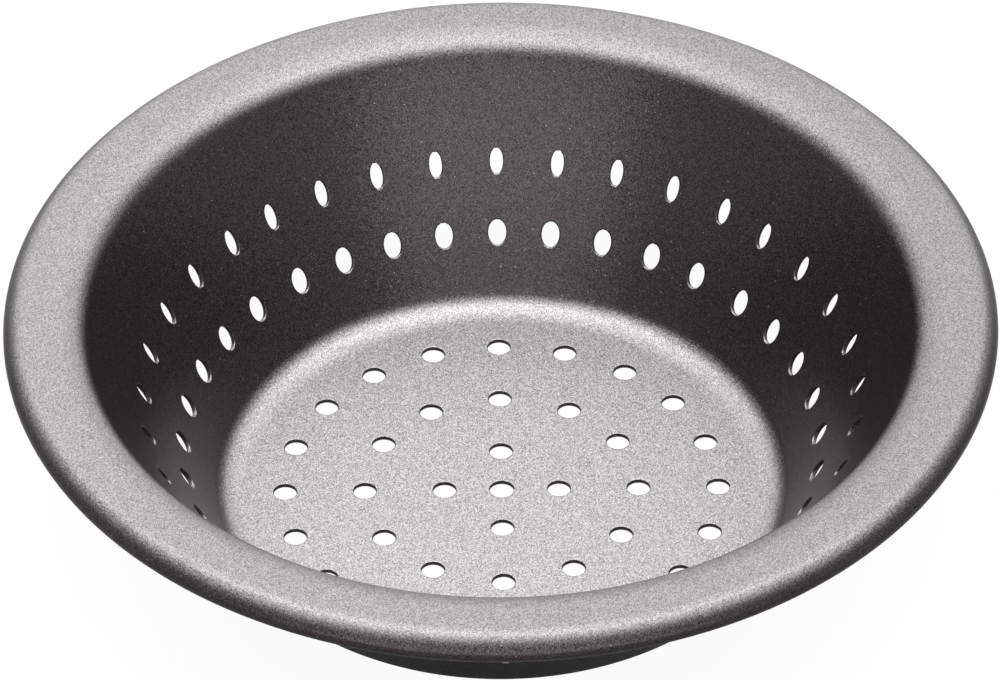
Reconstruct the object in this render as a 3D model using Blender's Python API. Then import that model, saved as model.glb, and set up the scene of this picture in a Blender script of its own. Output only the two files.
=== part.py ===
"""Perforated pie pan: one steel sheet, punched flat, drawn to a dish and rolled at its rim.

Metres, +Z up. The origin is on the bench under the middle of the pan. Lines of the
sheet's section are (radius, height) pairs at the middle of its thickness.
"""
import math

import bmesh
import bpy
from mathutils import Matrix, Vector

MM = 0.001

# Sheet and dish
SHEET = 0.8 * MM          # thickness of the steel with its coating
HEIGHT = 41.1 * MM        # bench to the top of the rim
FLAT_RADIUS = 42.0 * MM   # flat part of the base
BASE_BEND = 6.4 * MM      # bend from base to wall

# Rim
RIM_RADIUS = 80.25 * MM   # outside of the rolled edge
RIM_BEND = 6.4 * MM       # bend from wall to rim
RIM_FLAT = 4.1 * MM       # flat of the rim, between its bend and its rolled edge

# Rolled edge: three arcs, each from where the last one ends, with its fall from the level there
SHOULDER_RADIUS = 2.4 * MM
SHOULDER_FALL = math.radians(35.0)
SLOPE_RADIUS = 6.3 * MM
SLOPE_FALL = math.radians(58.0)
CURL_RADIUS = 1.2 * MM
CURL_FALL = math.radians(290.0)   # the sheet's edge, which is left open under the slope

# Round holes of the base: one in the middle and rings round it
BASE_HOLE = 3.8 * MM
MIDDLE_HOLE = 4.0 * MM
RING_MARGIN = 6.4 * MM    # outermost ring to the edge of the flat
RING_PITCH = 13.1 * MM    # from ring to ring
# Holes in each quarter, and degrees across the quarter's joint, from the outermost ring in
BASE_RINGS = ((5, 18.0), (3, 28.8), (1, 90.0))

# Holes of the wall, which drawing has stretched from round to oval
LOWER_ROW = 9.55 * MM     # end of the base bend to the lower row, up the wall
ROW_PITCH = 12.2 * MM     # from row to row, up the wall
ROW_HOLES = 9             # in each quarter
# Width round the pan, length up the wall, and degrees across the quarter's joint
WALL_ROWS = (
    (3.05 * MM, 4.5 * MM, 11.0),
    (2.2 * MM, 4.7 * MM, 9.1),
)

# Facets
QUARTERS = 4
SIDES = 2 * QUARTERS * ROW_HOLES   # every hole of the wall lies inside one side
BEND_STEPS = 4
ROLL_STEPS = (2, 1, 8)    # of the shoulder, the slope and the curl
BASE_HOLE_SIDES = 14
WALL_HOLE_SIDES = 12
CUT_DEPTH = 6 * SHEET
SHARP_ANGLE = math.radians(35.0)


def clear_scene():
    for item in list(bpy.data.objects):
        bpy.data.objects.remove(item, do_unlink=True)


def coated_steel():
    """Grey non-stick coating with fine metal flakes, on steel."""
    material = bpy.data.materials.new("grey_flake_coating")
    material.use_nodes = True
    shader = material.node_tree.nodes["Principled BSDF"]
    shader.inputs["Base Color"].default_value = (0.20, 0.195, 0.19, 1.0)
    shader.inputs["Metallic"].default_value = 0.85
    shader.inputs["Roughness"].default_value = 0.38
    return material


def fallen(angle):
    """The direction square to a sheet that has turned down from the level by this angle."""
    return Vector((math.sin(angle), math.cos(angle)))


def base_bend_centre():
    return Vector((FLAT_RADIUS, SHEET / 2 + BASE_BEND))


def roll_arcs():
    """Centre, radius, fall and steps of each arc of the rolled edge, from the rim outwards.

    Where two arcs meet, both centres and the joint are in line. So each centre lies back from
    the next by the difference of their radii, and the last arc reaches the rim's radius.
    """
    shoulder = Vector((0.0, HEIGHT - SHEET / 2 - SHOULDER_RADIUS))
    slope = shoulder + (SHOULDER_RADIUS - SLOPE_RADIUS) * fallen(SHOULDER_FALL)
    curl = slope + (SLOPE_RADIUS - CURL_RADIUS) * fallen(SLOPE_FALL)
    out = Vector((RIM_RADIUS - SHEET / 2 - CURL_RADIUS - curl.x, 0.0))
    return list(zip(
        (shoulder + out, slope + out, curl + out),
        (SHOULDER_RADIUS, SLOPE_RADIUS, CURL_RADIUS),
        (SHOULDER_FALL, SLOPE_FALL, CURL_FALL),
        ROLL_STEPS,
    ))


def rim_bend_centre():
    shoulder = roll_arcs()[0][0]
    return Vector((shoulder.x - RIM_FLAT, HEIGHT - SHEET / 2 - RIM_BEND))


def wall_lean():
    """Angle of the wall from the upright: the straight line that crosses between both bends."""
    across = rim_bend_centre() - base_bend_centre()
    return math.atan2(across.x, across.y) - math.asin((BASE_BEND + RIM_BEND) / across.length)


def wall_point(up):
    """A point this far up the straight wall from the end of the base bend."""
    lean = wall_lean()
    foot = base_bend_centre() + BASE_BEND * Vector((math.cos(lean), -math.sin(lean)))
    return foot + up * Vector((math.sin(lean), math.cos(lean)))


def arc(centre, radius, start, turn, steps):
    """Points on an arc, both ends included."""
    angles = [start + turn * step / steps for step in range(steps + 1)]
    return [centre + radius * Vector((math.cos(angle), math.sin(angle))) for angle in angles]


def sheet_line():
    """The sheet's section, from the edge of the flat base out to the rolled edge."""
    bent = math.pi / 2 - wall_lean()
    line = arc(base_bend_centre(), BASE_BEND, -math.pi / 2, bent, BEND_STEPS)
    line += arc(rim_bend_centre(), RIM_BEND, math.pi / 2 + bent, -bent, BEND_STEPS)
    line.append(roll_arcs()[0][0] + Vector((0.0, SHOULDER_RADIUS)))
    start = 0.0
    for centre, radius, fall, steps in roll_arcs():
        line += arc(centre, radius, math.pi / 2 - start, start - fall, steps)[1:]
        start = fall
    return line


def drawn_sheet():
    """The middle of the sheet: its section spun about Z, with the flat base as one face.

    The middle of each side touches the true circle, and the corners lie just outside it.
    """
    mesh = bmesh.new()
    corner = 1 / math.cos(math.pi / SIDES)
    verts = [mesh.verts.new((point.x * corner, 0.0, point.y)) for point in sheet_line()]
    edges = [mesh.edges.new(pair) for pair in zip(verts, verts[1:])]
    # Half a side round, so that the axes meet the middle of a side
    bmesh.ops.rotate(mesh, verts=verts, cent=(0, 0, 0), matrix=Matrix.Rotation(math.pi / SIDES, 3, "Z"))
    bmesh.ops.spin(
        mesh, geom=verts + edges, cent=(0, 0, 0), axis=(0, 0, 1), angle=math.tau, steps=SIDES,
    )
    bmesh.ops.remove_doubles(mesh, verts=mesh.verts, dist=SHEET / 100)
    foot = min(vert.co.z for vert in mesh.verts)
    flat = [edge for edge in mesh.edges if all(vert.co.z < foot + SHEET / 100 for vert in edge.verts)]
    bmesh.ops.contextual_create(mesh, geom=[edge for edge in flat if edge.is_boundary])
    bmesh.ops.recalc_face_normals(mesh, faces=mesh.faces)
    return mesh


def quarter_angles(count, joint):
    """Angles of holes that stand in four equal groups, each centred on an axis.

    joint is the angle from the last hole of a group to the first of the next.
    """
    quarter = math.tau / QUARTERS
    pitch = (quarter - math.radians(joint)) / max(count - 1, 1)
    return [
        group * quarter + (place - (count - 1) / 2) * pitch
        for group in range(QUARTERS)
        for place in range(count)
    ]


def cut_through(mesh, place, width, length, sides):
    """Adds an oval prism whose axis is the place's Z, its width along X and its length along Y."""
    shape = place @ Matrix.Diagonal((width / 2, length / 2, CUT_DEPTH, 1.0))
    bmesh.ops.create_cone(
        mesh, cap_ends=True, segments=sides, radius1=1.0, radius2=1.0, depth=1.0, matrix=shape,
    )


def base_holes(mesh):
    """A hole in the middle and rings round it, each ring a pitch inside the last."""
    middle = Matrix.Translation((0.0, 0.0, SHEET / 2))
    cut_through(mesh, middle, MIDDLE_HOLE, MIDDLE_HOLE, BASE_HOLE_SIDES)
    for ring, (count, joint) in enumerate(BASE_RINGS):
        radius = FLAT_RADIUS - RING_MARGIN - ring * RING_PITCH
        if radius < 1.5 * BASE_HOLE:
            break
        for angle in quarter_angles(count, joint):
            place = Matrix.Rotation(angle, 4, "Z") @ Matrix.Translation((radius, 0.0, 0.0)) @ middle
            cut_through(mesh, place, BASE_HOLE, BASE_HOLE, BASE_HOLE_SIDES)


def wall_holes(mesh):
    """Two rows of ovals square to the sloping wall, their length up it."""
    for row, (width, length, joint) in enumerate(WALL_ROWS):
        point = wall_point(LOWER_ROW + row * ROW_PITCH)
        # Rotated so that the prism's Z is square to the wall and its Y runs up the wall
        tilt = Matrix.Rotation(math.pi / 2, 4, "Z") @ Matrix.Rotation(wall_lean() - math.pi / 2, 4, "X")
        stand = Matrix.Translation((point.x, 0.0, point.y)) @ tilt
        for angle in quarter_angles(ROW_HOLES, joint):
            place = Matrix.Rotation(angle, 4, "Z") @ stand
            cut_through(mesh, place, width, length, WALL_HOLE_SIDES)


def make_object(name, mesh):
    data = bpy.data.meshes.new(name)
    mesh.to_mesh(data)
    mesh.free()
    item = bpy.data.objects.new(name, data)
    bpy.context.collection.objects.link(item)
    return item


def hole_cutters():
    mesh = bmesh.new()
    base_holes(mesh)
    wall_holes(mesh)
    bmesh.ops.recalc_face_normals(mesh, faces=mesh.faces)
    cutters = make_object("hole_cutters", mesh)
    cutters.display_type = "WIRE"
    cutters.hide_render = True
    return cutters


def pie_pan():
    pan = make_object("pie_pan", drawn_sheet())
    pan.data.materials.append(coated_steel())
    pan.data.shade_smooth()
    pan.data.set_sharp_from_angle(angle=SHARP_ANGLE)

    thickness = pan.modifiers.new("sheet_thickness", "SOLIDIFY")
    thickness.thickness = SHEET
    thickness.offset = 0.0
    thickness.use_even_offset = True

    punch = pan.modifiers.new("punched_holes", "BOOLEAN")
    punch.operation = "DIFFERENCE"
    punch.solver = "EXACT"
    punch.object = hole_cutters()
    return pan


clear_scene()
pie_pan()
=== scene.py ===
"""Perforated pie pan on a white sweep.

The pan is one drawn steel sheet with a silver-grey flake coating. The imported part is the
frame. The pan that shows is one closed surface, worked out from the same sizes: the sheet's
section is a chain of straight runs and arcs turned about Z, and every hole has rounded lips.
"""

import math

import bmesh
import bpy
import numpy as np
from mathutils import Euler, Matrix


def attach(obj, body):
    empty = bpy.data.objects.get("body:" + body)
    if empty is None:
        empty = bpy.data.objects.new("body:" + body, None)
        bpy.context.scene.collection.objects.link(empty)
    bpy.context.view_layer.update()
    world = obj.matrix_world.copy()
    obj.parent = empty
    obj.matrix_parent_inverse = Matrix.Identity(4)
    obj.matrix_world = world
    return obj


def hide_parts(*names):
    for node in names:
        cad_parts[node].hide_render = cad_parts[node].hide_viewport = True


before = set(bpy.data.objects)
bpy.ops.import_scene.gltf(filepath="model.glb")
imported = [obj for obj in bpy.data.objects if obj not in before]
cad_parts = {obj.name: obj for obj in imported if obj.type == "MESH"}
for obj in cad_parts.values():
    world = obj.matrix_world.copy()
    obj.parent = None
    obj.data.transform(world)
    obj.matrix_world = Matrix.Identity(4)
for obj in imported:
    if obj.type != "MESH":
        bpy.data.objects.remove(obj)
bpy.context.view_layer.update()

MM = 0.001

# Sheet and dish, as in the part
SHEET = 0.8 * MM
HEIGHT = 41.1 * MM
FLAT_RADIUS = 42.0 * MM
BASE_BEND = 6.4 * MM
RIM_RADIUS = 80.25 * MM
RIM_BEND = 6.4 * MM
RIM_FLAT = 4.1 * MM

# Rolled edge: a shoulder, a slope and a curl, and how far each has fallen from the level
ROLL_RADII = np.array([2.4, 6.3, 1.2]) * MM
ROLL_FALLS = np.radians([35.0, 58.0, 290.0])

# Holes of the base: rings of (holes in a quarter, degrees across the quarter's joint)
BASE_HOLE = 3.8 * MM
MIDDLE_HOLE = 4.0 * MM
RING_MARGIN = 6.4 * MM
RING_PITCH = 13.1 * MM
BASE_RINGS = ((5, 18.0), (3, 28.8), (1, 90.0))

# Holes of the wall: rows of (width, length up the wall, degrees across the quarter's joint)
LOWER_ROW = 9.55 * MM
ROW_PITCH = 12.2 * MM
ROW_HOLES = 9
WALL_ROWS = ((3.05 * MM, 4.5 * MM, 11.0), (2.2 * MM, 4.7 * MM, 9.1))

# Mesh of the pan
QUARTERS = 4
AROUND = 180                        # columns round the pan, two degrees each
JOINT_TURN = -math.pi / QUARTERS    # where the quarters of holes meet
HALF = SHEET / 2
LIP = 0.16 * MM                     # rounding of a punched edge under its coating
EDGE_LIP = 0.25 * MM                # rounding of the sheet's own edge, inside the roll
LIP_TURNS = np.radians([0.0, 45.0, 90.0])
SPREAD = np.array([1.0, 0.6, 0.3, 0.0])    # rings from a cell's outline, 1, in to its hole, 0
CLEAR = 2 * LIP                     # how far outside the hole the innermost of those lies
SIDE_STEP, LEAST_STEPS = 1.5 * MM, 6       # along a cell's sides
BEND_RINGS = 11                     # across the base bend, both ends counted
RIM_STEPS = (4, 12, 3, 6, 5, 23)    # wall top, rim bend, rim, shoulder, slope and curl
WELD = 0.002 * MM


# The sheet's section

def bends_across():
    """From the centre of the base bend to the centre of the rim bend: outwards and up."""
    roll = ROLL_RADII[-1] - (np.diff(ROLL_RADII) * np.sin(ROLL_FALLS[:-1])).sum()
    out = RIM_RADIUS - HALF - roll - RIM_FLAT - FLAT_RADIUS
    return out, HEIGHT - SHEET - RIM_BEND - BASE_BEND


def wall_lean():
    """Angle of the wall from the upright: the straight line that crosses between both bends."""
    out, up = bends_across()
    return math.atan2(out, up) - math.asin((BASE_BEND + RIM_BEND) / math.hypot(out, up))


def sheet_runs():
    """Length and curvature of each straight run or arc of mid-sheet, from the axis outwards."""
    bent = math.pi / 2 - wall_lean()
    wall = math.sqrt(math.hypot(*bends_across()) ** 2 - (BASE_BEND + RIM_BEND) ** 2)
    roll = ROLL_RADII * np.diff(ROLL_FALLS, prepend=0.0)
    lengths = [FLAT_RADIUS, BASE_BEND * bent, wall, RIM_BEND * bent, RIM_FLAT, *roll]
    curvatures = [0.0, 1 / BASE_BEND, 0.0, -1 / RIM_BEND, 0.0, *(-1 / ROLL_RADII)]
    return np.array(lengths), np.array(curvatures)


def carried(length, curvature, heading):
    """How far out and up a run goes.

    An arc's chord is its length times the sine of half its turn over that half turn, and it
    points half its turn on from where the arc starts. A straight run is an arc with no turn.
    """
    half_turn = length * curvature / 2
    chord = length * np.sinc(half_turn / np.pi)
    return chord * np.cos(heading + half_turn), chord * np.sin(heading + half_turn)


RUN_LENGTHS, RUN_CURVATURES = sheet_runs()
RUN_STARTS = np.concatenate([[0.0], np.cumsum(RUN_LENGTHS)])
RUN_HEADINGS = np.concatenate([[0.0], np.cumsum(RUN_LENGTHS * RUN_CURVATURES)])[:-1]
RUN_PLACES = np.cumsum(
    [(0.0, HALF), *zip(*carried(RUN_LENGTHS, RUN_CURVATURES, RUN_HEADINGS))], axis=0
)
FLAT_END, WALL_FOOT, WALL_TOP, RIM_START, SHOULDER_START = RUN_STARTS[1:6]
SLOPE_START, CURL_START, SHEET_END = RUN_STARTS[6:]
ROLL_RADIUS = RUN_PLACES[5, 0]      # from the axis to where the rolled edge starts


def sheet_points(along, turn, offset):
    """Points a distance along the section, offset square to mid-sheet and turned about Z.

    Each is where its run starts, plus what the run has carried it, plus the offset along the
    normal there. Its radius times the turn's cosine and sine gives X and Y.
    """
    along, turn, offset = np.broadcast_arrays(along, turn, offset)
    run = np.clip(np.searchsorted(RUN_STARTS, along, side="right") - 1, 0, len(RUN_LENGTHS) - 1)
    length = along - RUN_STARTS[run]
    out, up = carried(length, RUN_CURVATURES[run], RUN_HEADINGS[run])
    heading = RUN_HEADINGS[run] + RUN_CURVATURES[run] * length
    radius = RUN_PLACES[run, 0] + out - offset * np.sin(heading)
    height = RUN_PLACES[run, 1] + up + offset * np.cos(heading)
    return np.stack([radius * np.cos(turn), radius * np.sin(turn), height], axis=-1)


# The pan's surface, as closed rings of points

def ring_faces(points, first):
    """Quads between each ring and the next, for an array of (patch, ring, place round it)."""
    patches, rings, around = points.shape[:3]
    index = first + np.arange(patches * rings * around).reshape(patches, rings, around)
    here, inner = index[:, :-1], index[:, 1:]
    quads = [here, inner, np.roll(inner, -1, axis=2), np.roll(here, -1, axis=2)]
    return np.stack(quads, axis=-1).reshape(-1, 4)


def lip(radius):
    """A rounded edge, from the sheet's upper face round to its lower face.

    A quarter circle at each face: (distance in from the cut, offset from mid-sheet).
    """
    gap = radius * (1 - np.sin(LIP_TURNS))
    rise = HALF - radius * (1 - np.cos(LIP_TURNS))
    return np.concatenate([gap, gap[::-1]]), np.concatenate([rise, -rise[::-1]])


def turned_patch(along, offset):
    """A strip of the section carried right round the axis."""
    turn = JOINT_TURN + np.arange(AROUND) * math.tau / AROUND
    return sheet_points(along[None, :, None], turn, offset[None, :, None])


def quarter_turns(count, joint):
    """Angles of holes in four equal groups centred on the axes, from one joint round."""
    quarter = math.tau / QUARTERS
    pitch = (quarter - math.radians(joint)) / max(count - 1, 1)
    group, place = np.divmod(np.arange(QUARTERS * count), count)
    return group * quarter + (place - (count - 1) / 2) * pitch


def punched_patch(middle, inner, outer, turns, width, length, apex, narrowing):
    """A band of cells, each with an oval hole, between two distances along a straight run.

    The run is a cone, which is worked on laid flat: a point lies its distance along plus apex
    from the cone's tip, and its turn there is the turn about Z times narrowing. Rings go from
    the cell's outline in to the oval, over its lip, and out again under the sheet.
    """
    columns = AROUND // len(turns)
    rows = max(LEAST_STEPS, round((outer - inner) / SIDE_STEP))
    side, end = np.arange(rows) / rows, np.arange(columns) / columns
    cell_turn = np.concatenate([end, np.ones(rows), 1 - end, np.zeros(rows)])
    cell_along = np.concatenate([np.zeros(columns), side, np.ones(columns), 1 - side])
    cells = np.arange(len(turns))[:, None]
    turn = JOINT_TURN + (cells + cell_turn) * math.tau / len(turns) - turns[:, None]
    reach = inner + cell_along * (outer - inner) + apex
    tip = middle + apex
    across, up = reach * np.sin(turn * narrowing), reach * np.cos(turn * narrowing) - tip

    gap, rise = lip(LIP)
    flat = np.ones(len(SPREAD))
    margin = np.concatenate([CLEAR * flat, gap, CLEAR * flat])
    share = np.concatenate([SPREAD, np.zeros(len(gap)), SPREAD[::-1]])
    offset = np.concatenate([HALF * flat, rise, -HALF * flat])
    share, margin, offset = (values[None, :, None] for values in (share, margin, offset))

    angle = np.arctan2(up / length, across / width)[:, None, :]
    across = share * across[:, None, :] + (1 - share) * (width / 2 + margin) * np.cos(angle)
    up = share * up[:, None, :] + (1 - share) * (length / 2 + margin) * np.sin(angle)
    along = np.hypot(across, tip + up) - apex
    turn = turns[:, None, None] + np.arctan2(across, tip + up) / narrowing
    return sheet_points(along, turn, offset)


def base_patches():
    """The middle hole, then a band of cells for each ring, out to the edge of the flat."""
    rings = [FLAT_RADIUS - RING_MARGIN - ring * RING_PITCH for ring in range(len(BASE_RINGS))]
    core = rings[-1] / 2
    gap, rise = lip(LIP)
    edge = MIDDLE_HOLE / 2
    along = np.concatenate([[core, edge + CLEAR], edge + gap, [edge + CLEAR, core]])
    offset = np.concatenate([[-HALF, -HALF], -rise, [HALF, HALF]])
    yield turned_patch(along, offset)
    outer = FLAT_RADIUS
    for middle, (count, joint) in zip(rings, BASE_RINGS):
        inner = core if middle == rings[-1] else middle - RING_PITCH / 2
        turns = quarter_turns(count, joint)
        yield punched_patch(middle, inner, outer, turns, BASE_HOLE, BASE_HOLE, 0.0, 1.0)
        outer = inner


def wall_patches():
    """A band of cells for each row of ovals in the sloping wall."""
    narrowing = math.sin(wall_lean())
    apex = RUN_PLACES[2, 0] / narrowing - WALL_FOOT
    for row, (width, length, joint) in enumerate(WALL_ROWS):
        middle = WALL_FOOT + LOWER_ROW + row * ROW_PITCH
        turns = quarter_turns(ROW_HOLES, joint)
        yield punched_patch(
            middle, middle - ROW_PITCH / 2, middle + ROW_PITCH / 2,
            turns, width, length, apex, narrowing,
        )


def plain_patches():
    """The base bend above and below, and then the rest of the sheet.

    That goes out over the rim and the roll, round the sheet's edge, and back underneath.
    """
    row_start = WALL_FOOT + LOWER_ROW - ROW_PITCH / 2
    rows_end = row_start + len(WALL_ROWS) * ROW_PITCH
    bend = np.concatenate([np.linspace(FLAT_END, WALL_FOOT, BEND_RINGS), [row_start]])
    yield turned_patch(bend, np.full(len(bend), HALF))
    yield turned_patch(bend[::-1], np.full(len(bend), -HALF))
    edge = SHEET_END - 2 * EDGE_LIP
    stops = [rows_end, WALL_TOP, RIM_START, SHOULDER_START, SLOPE_START, CURL_START, edge]
    runs = zip(stops, stops[1:], RIM_STEPS)
    rim = [np.linspace(start, end, steps, endpoint=False) for start, end, steps in runs]
    rim = np.concatenate([*rim, [edge]])
    gap, rise = lip(EDGE_LIP)
    along = np.concatenate([rim, SHEET_END - gap, rim[::-1]])
    offset = np.concatenate([np.full(len(rim), HALF), rise, np.full(len(rim), -HALF)])
    yield turned_patch(along, offset)


def add_level(mesh):
    """Stores how level each point's face is: its normal's height, from 1 up to -1 down."""
    normals = np.empty((len(mesh.vertices), 3), dtype=np.float32)
    mesh.vertices.foreach_get("normal", normals.ravel())
    level = mesh.attributes.new("level", "FLOAT", "POINT")
    level.data.foreach_set("value", normals[:, 2].copy())


def drawn_pan():
    """The whole surface: every patch's points and quads, welded where patches meet."""
    points, quads, first = [], [], 0
    for patch in (*base_patches(), *wall_patches(), *plain_patches()):
        quads.append(ring_faces(patch, first))
        points.append(patch.reshape(-1, 3))
        first += len(points[-1])
    mesh = bpy.data.meshes.new("drawn_sheet")
    mesh.from_pydata(np.concatenate(points).tolist(), [], np.concatenate(quads).tolist())
    weld = bmesh.new()
    weld.from_mesh(mesh)
    bmesh.ops.remove_doubles(weld, verts=weld.verts, dist=WELD)
    weld.to_mesh(mesh)
    weld.free()
    mesh.shade_smooth()
    add_level(mesh)
    pan = bpy.data.objects.new("drawn_sheet", mesh)
    bpy.context.collection.objects.link(pan)
    return pan


# Sprayed film: bright flakes on a dark film, with a painted sheen on level faces and painted shade on
# steep ones.
# Real flakes are about 0.04 mm across, and are drawn as coarse as they need to be to show.
FLAKE = 0.15 * MM
SILVER, DARK = "#B5B3B2", "#403C3B"     # of the flakes, and of the film under them
SHEEN_START_LEVEL, SHEEN_FULL_LEVEL = 0.53, 0.82     # how level a face is where the painted sheen starts, and where it is full
SHEEN_RAMP = 1.7                          # how slowly the painted sheen comes in, as a power
LOW_PAINTED_SHADE, ROLL_PAINTED_SHADE = 0.045, 0.07       # painted shade: how far the sheen level falls, low down and on the roll
RAGGED = 0.08                           # how far that differs from flake to flake
STRAY, STRAY_SHINE = 0.0015, 0.45       # share of flakes that shine on steep faces too, and how much
SILVER_GRAIN, DARK_GRAIN = 0.8, 1.3     # from the darkest flake to the palest, against their mean
SILVER_ROUGHNESS, DARK_ROUGHNESS = 0.50, 0.28
SILVER_METAL, DARK_METAL = 0.66, 0.6
RESIN_GLOSS = 0.2                       # mirror of the film's PTFE, against 0.5 for glass
BOTTOM_PAINTED_LIGHT = 1.46                          # painted light: the film paler at the bottom of the dish, against the rim
LEFT_PAINTED_LIGHT, RIGHT_PAINTED_LIGHT = 0.84, 0.74    # painted light and shade: how pale the film is from left to right
OUTSIDE_PAINTED_SHADE = 0.45                      # painted shade: the outside, darker than the inside
UNDER_FROM, UNDER_FULL = 0.1, -0.4      # how level a face is where that starts, and is all there
TIPPED = 0.16                           # how far flakes tip off the surface, as a slope


def linear(code):
    """A hex sRGB colour as linear light, with full alpha."""
    parts = [int(code[place:place + 2], 16) / 255 for place in (1, 3, 5)]
    return (*(c / 12.92 if c <= 0.04045 else ((c + 0.055) / 1.055) ** 2.4 for c in parts), 1.0)


def add_node(tree, kind, settings=None, **links):
    """Adds a node with its settings and links.

    Settings are its own fields. Links are its inputs by name or number, where an underscore
    stands for a space: a socket is linked to them, and any other value is set.
    """
    node = tree.nodes.new(kind)
    for name, value in (settings or {}).items():
        setattr(node, name, value)
    for name, value in links.items():
        key = int(name[1:]) if name[0] == "i" and name[1:].isdigit() else name.replace("_", " ")
        if isinstance(value, bpy.types.NodeSocket):
            tree.links.new(value, node.inputs[key])
        else:
            node.inputs[key].default_value = value
    return node


def empty_material(name):
    material = bpy.data.materials.new(name)
    material.use_nodes = True
    material.node_tree.nodes.clear()
    return material


def tipped_normal(tree, chance):
    """The surface's normal, tipped a little another way at each flake."""
    normal = add_node(tree, "ShaderNodeNewGeometry").outputs["Normal"]
    lean = add_node(
        tree, "ShaderNodeVectorMath", {"operation": "SUBTRACT"}, i0=chance, i1=(0.5, 0.5, 0.5),
    ).outputs[0]
    tipped = add_node(
        tree, "ShaderNodeVectorMath", {"operation": "MULTIPLY_ADD"},
        i0=lean, i1=(TIPPED, TIPPED, TIPPED), i2=normal,
    ).outputs[0]
    return add_node(tree, "ShaderNodeVectorMath", {"operation": "NORMALIZE"}, i0=tipped).outputs[0]


def changed_by(tree, value, operation, *changes):
    """A value after the same operation with several amounts, one after another.

    A change is (what its amount follows, from, to, the amount at from, the amount at to).
    """
    for follows, start, end, at_start, at_end in changes:
        amount = add_node(
            tree, "ShaderNodeMapRange",
            Value=follows, From_Min=start, From_Max=end, To_Min=at_start, To_Max=at_end,
        ).outputs["Result"]
        value = add_node(
            tree, "ShaderNodeMath", {"operation": operation}, i0=value, i1=amount,
        ).outputs[0]
    return value


def flakes_and_painted_sheen(tree, sheen_level, ragged_chance, stray_chance):
    """How much of the film the flakes cover, from 0 to 1.

    The sheen level is how level the face is, less a painted shade low down and on the roll,
    and it differs raggedly from flake to flake. The cover is how far that has come from where the
    sheen starts to where it is full, to the power of the ramp: a painted sheen on level faces and
    painted shade on steep ones. A stray few flakes shine wherever they lie.
    """
    ragged = add_node(
        tree, "ShaderNodeMath", {"operation": "MULTIPLY_ADD"}, i0=ragged_chance, i1=RAGGED, i2=sheen_level,
    ).outputs[0]
    share = add_node(
        tree, "ShaderNodeMapRange",
        Value=ragged, From_Min=SHEEN_START_LEVEL + RAGGED / 2, From_Max=SHEEN_FULL_LEVEL + RAGGED / 2,
    ).outputs["Result"]
    covered = add_node(
        tree, "ShaderNodeMath", {"operation": "POWER"}, i0=share, i1=SHEEN_RAMP,
    ).outputs[0]
    stray = add_node(
        tree, "ShaderNodeMath", {"operation": "GREATER_THAN"}, i0=stray_chance, i1=1.0 - STRAY,
    ).outputs[0]
    shine = add_node(
        tree, "ShaderNodeMath", {"operation": "MULTIPLY"}, i0=stray, i1=STRAY_SHINE,
    ).outputs[0]
    return add_node(tree, "ShaderNodeMath", {"operation": "MAXIMUM"}, i0=covered, i1=shine).outputs[0]


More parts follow.
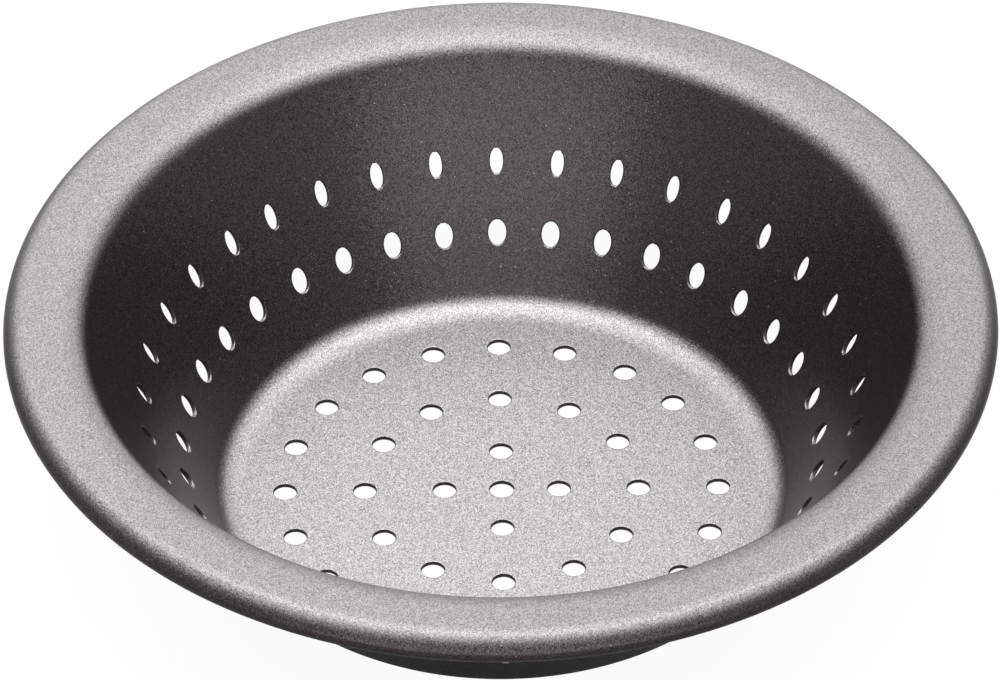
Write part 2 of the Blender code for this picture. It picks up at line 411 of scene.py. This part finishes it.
def sprayed_flake_coating():
    """PTFE non-stick coating with aluminium flakes, sprayed on steel from above and baked.

    On level faces the flakes cover it in a broad silver sheen. On walls, the edges of holes and
    the underside, the darker film shows, and mirrors a little. That choice by how level a face is
    is a painted sheen and painted shade. Painted shade darkens it low down, on the roll, at the
    right and on the outside, and painted light brightens the bottom of the dish. Each flake has
    its own tilt and shade.
    """
    material = empty_material("sprayed_flake_coating")
    tree = material.node_tree
    place = add_node(tree, "ShaderNodeTexCoord").outputs["Object"]
    across, _, height = add_node(tree, "ShaderNodeSeparateXYZ", Vector=place).outputs
    outwards = add_node(
        tree, "ShaderNodeVectorMath", {"operation": "MULTIPLY"}, i0=place, i1=(1.0, 1.0, 0.0),
    ).outputs[0]
    radius = add_node(
        tree, "ShaderNodeVectorMath", {"operation": "LENGTH"}, i0=outwards,
    ).outputs["Value"]
    level = add_node(tree, "ShaderNodeAttribute", {"attribute_name": "level"}).outputs["Fac"]
    chance = add_node(tree, "ShaderNodeTexVoronoi", Vector=place, Scale=1 / FLAKE).outputs["Color"]
    chances = add_node(tree, "ShaderNodeSeparateColor", Color=chance)
    ragged_chance, shade_chance, stray_chance = chances.outputs

    # Painted shade: the sheen level falls low down in the dish and out on the roll.
    sheen_level = changed_by(
        tree, level, "SUBTRACT",
        (height, 0.0, HEIGHT, LOW_PAINTED_SHADE, 0.0),
        (radius, ROLL_RADIUS, RIM_RADIUS, 0.0, ROLL_PAINTED_SHADE),
    )
    # Flake cover: by how level a face is, it paints a sheen on level faces and shade on steep ones.
    silver = flakes_and_painted_sheen(tree, sheen_level, ragged_chance, stray_chance)
    film = add_node(
        tree, "ShaderNodeMix", {"data_type": "RGBA"}, i0=silver, i6=linear(DARK), i7=linear(SILVER),
    ).outputs[2]
    grain, metal, roughness = (
        add_node(tree, "ShaderNodeMapRange", Value=silver, To_Min=dark, To_Max=bright).outputs["Result"]
        for dark, bright in (
            (DARK_GRAIN, SILVER_GRAIN), (DARK_METAL, SILVER_METAL), (DARK_ROUGHNESS, SILVER_ROUGHNESS),
        )
    )
    paler = add_node(
        tree, "ShaderNodeMath", {"operation": "SUBTRACT"}, i0=0.5, i1=shade_chance,
    ).outputs[0]
    shade = add_node(
        tree, "ShaderNodeMath", {"operation": "MULTIPLY_ADD"}, i0=paler, i1=grain, i2=1.0,
    ).outputs[0]
    # Painted light and shade on the flake grain: paler at the left than the right, paler at the bottom
    # of the dish, darker on the outside.
    grain_and_painted_light = changed_by(
        tree, shade, "MULTIPLY",
        (across, -RIM_RADIUS, RIM_RADIUS, LEFT_PAINTED_LIGHT, RIGHT_PAINTED_LIGHT),
        (height, 0.0, HEIGHT, BOTTOM_PAINTED_LIGHT, 1.0),
        (level, UNDER_FULL, UNDER_FROM, OUTSIDE_PAINTED_SHADE, 1.0),
    )
    colour = add_node(
        tree, "ShaderNodeVectorMath", {"operation": "SCALE"}, i0=film, Scale=grain_and_painted_light,
    ).outputs[0]
    shader = add_node(
        tree, "ShaderNodeBsdfPrincipled", Base_Color=colour, Metallic=metal, Roughness=roughness,
        Specular_IOR_Level=RESIN_GLOSS, Normal=tipped_normal(tree, chance),
    )
    add_node(tree, "ShaderNodeOutputMaterial", Surface=shader.outputs[0])
    return material


# Studio. Its room is white to the camera and in the pan's mirrors.
ROOM = 0.05             # what the room adds to the lamps' light, against that white
PAPER = 0.7             # grey of the paper in the pan's mirrors, lit and shadowed as it lies
PAPER_SEEN = 0.10       # grey of the paper under the camera's white, which carries the shadow
PAPER_GLOW = 0.94       # the camera's white, less what the lamps add to that grey
FLOOR_HALF = 3.0
FLOOR_DROP = 0.1 * MM   # keeps the paper off the pan's underside

# Camera, where the perspective of the holes and the rim puts it. Its lens and sensor are in mm.
CAMERA_LENS, CAMERA_SENSOR = 294.57, 36.0
CAMERA_PLACE = (-9.25 * MM, -999.59 * MM, 900.96 * MM)
CAMERA_DOWN = math.radians(40.96)
CAMERA_TURN = math.radians(-0.523)
CAMERA_TILT = math.radians(-0.376)


def ray_is(tree, *kinds):
    """1 for a ray of one of these kinds, and 0 for any other."""
    path = add_node(tree, "ShaderNodeLightPath").outputs
    found = path[kinds[0]]
    for kind in kinds[1:]:
        found = add_node(
            tree, "ShaderNodeMath", {"operation": "MAXIMUM"}, i0=found, i1=path[kind],
        ).outputs[0]
    return found


def white_sweep():
    """Matt paper: white where the camera sees it, with the pan's shadow kept in its grey."""
    material = empty_material("white_sweep_paper")
    tree = material.node_tree
    seen = ray_is(tree, "Is Camera Ray", "Is Transmission Ray")
    grey, strength = (
        add_node(
            tree, "ShaderNodeMapRange", Value=seen, To_Min=unseen, To_Max=in_view,
        ).outputs["Result"]
        for unseen, in_view in ((PAPER, PAPER_SEEN), (0.0, PAPER_GLOW))
    )
    paper = add_node(tree, "ShaderNodeBsdfDiffuse", Color=grey)
    glow = add_node(tree, "ShaderNodeEmission", Strength=strength)
    both = add_node(tree, "ShaderNodeAddShader", i0=paper.outputs[0], i1=glow.outputs[0])
    add_node(tree, "ShaderNodeOutputMaterial", Surface=both.outputs[0])
    return material


def studio_floor():
    half, down = FLOOR_HALF, -FLOOR_DROP
    mesh = bpy.data.meshes.new("studio_floor")
    corners = [(-half, -half, down), (half, -half, down), (half, half, down), (-half, half, down)]
    mesh.from_pydata(corners, [], [(0, 1, 2, 3)])
    mesh.materials.append(white_sweep())
    floor = bpy.data.objects.new("studio_floor", mesh)
    bpy.context.collection.objects.link(floor)


def studio_room():
    """A dim room, which the camera and the pan's mirrors see as white."""
    world = bpy.data.worlds.new("dim_room")
    world.use_nodes = True
    tree = world.node_tree
    tree.nodes.clear()
    dim = add_node(tree, "ShaderNodeBackground", Color=(ROOM, ROOM, ROOM, 1.0), Strength=1.0)
    white = add_node(tree, "ShaderNodeBackground", Color=(1.0, 1.0, 1.0, 1.0), Strength=1.0)
    both = add_node(
        tree, "ShaderNodeMixShader", i1=dim.outputs[0], i2=white.outputs[0],
        Fac=ray_is(tree, "Is Camera Ray", "Is Glossy Ray", "Is Transmission Ray"),
    )
    add_node(tree, "ShaderNodeOutputWorld", Surface=both.outputs[0])
    bpy.context.scene.world = world


def soft_box(name, glow, width, depth, place, lean):
    """A flat lamp with an even glow, where 1 is white.

    It faces down, or to the back when it leans by 90 degrees.
    """
    lamp = bpy.data.lights.new(name, "AREA")
    lamp.shape = "RECTANGLE"
    lamp.size, lamp.size_y = width, depth
    lamp.energy = glow * math.pi * width * depth
    item = bpy.data.objects.new(name, lamp)
    item.location = place
    item.rotation_euler = (math.radians(lean), 0.0, 0.0)
    item.visible_camera = False
    bpy.context.collection.objects.link(item)


def studio_camera():
    """A long lens, aimed down at the pan and then tilted about its own axis."""
    camera = bpy.data.cameras.new("long_lens")
    camera.lens = CAMERA_LENS
    camera.sensor_width = CAMERA_SENSOR
    item = bpy.data.objects.new("long_lens", camera)
    item.location = CAMERA_PLACE
    aim = Euler((math.pi / 2 - CAMERA_DOWN, 0.0, CAMERA_TURN))
    item.rotation_euler = (aim.to_matrix() @ Matrix.Rotation(CAMERA_TILT, 3, "Z")).to_euler()
    bpy.context.collection.objects.link(item)
    bpy.context.scene.camera = item


pan = drawn_pan()
pan.data.materials.append(sprayed_flake_coating())
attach(pan, "root")
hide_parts("pie_pan")

studio_floor()
studio_room()
# A broad lamp overhead, a dimmer one behind, and a low one in front that the back wall mirrors
soft_box("overhead_box", glow=1.95, width=5.2, depth=1.6, place=(0.3, -0.67, 2.0), lean=0.0)
soft_box("back_box", glow=0.75, width=4.0, depth=2.5, place=(0.0, 1.35, 2.0), lean=0.0)
soft_box("front_box", glow=2.6, width=3.0, depth=0.9, place=(0.0, -2.0, 0.69), lean=90.0)
studio_camera()
bpy.context.scene.view_settings.view_transform = "Standard"
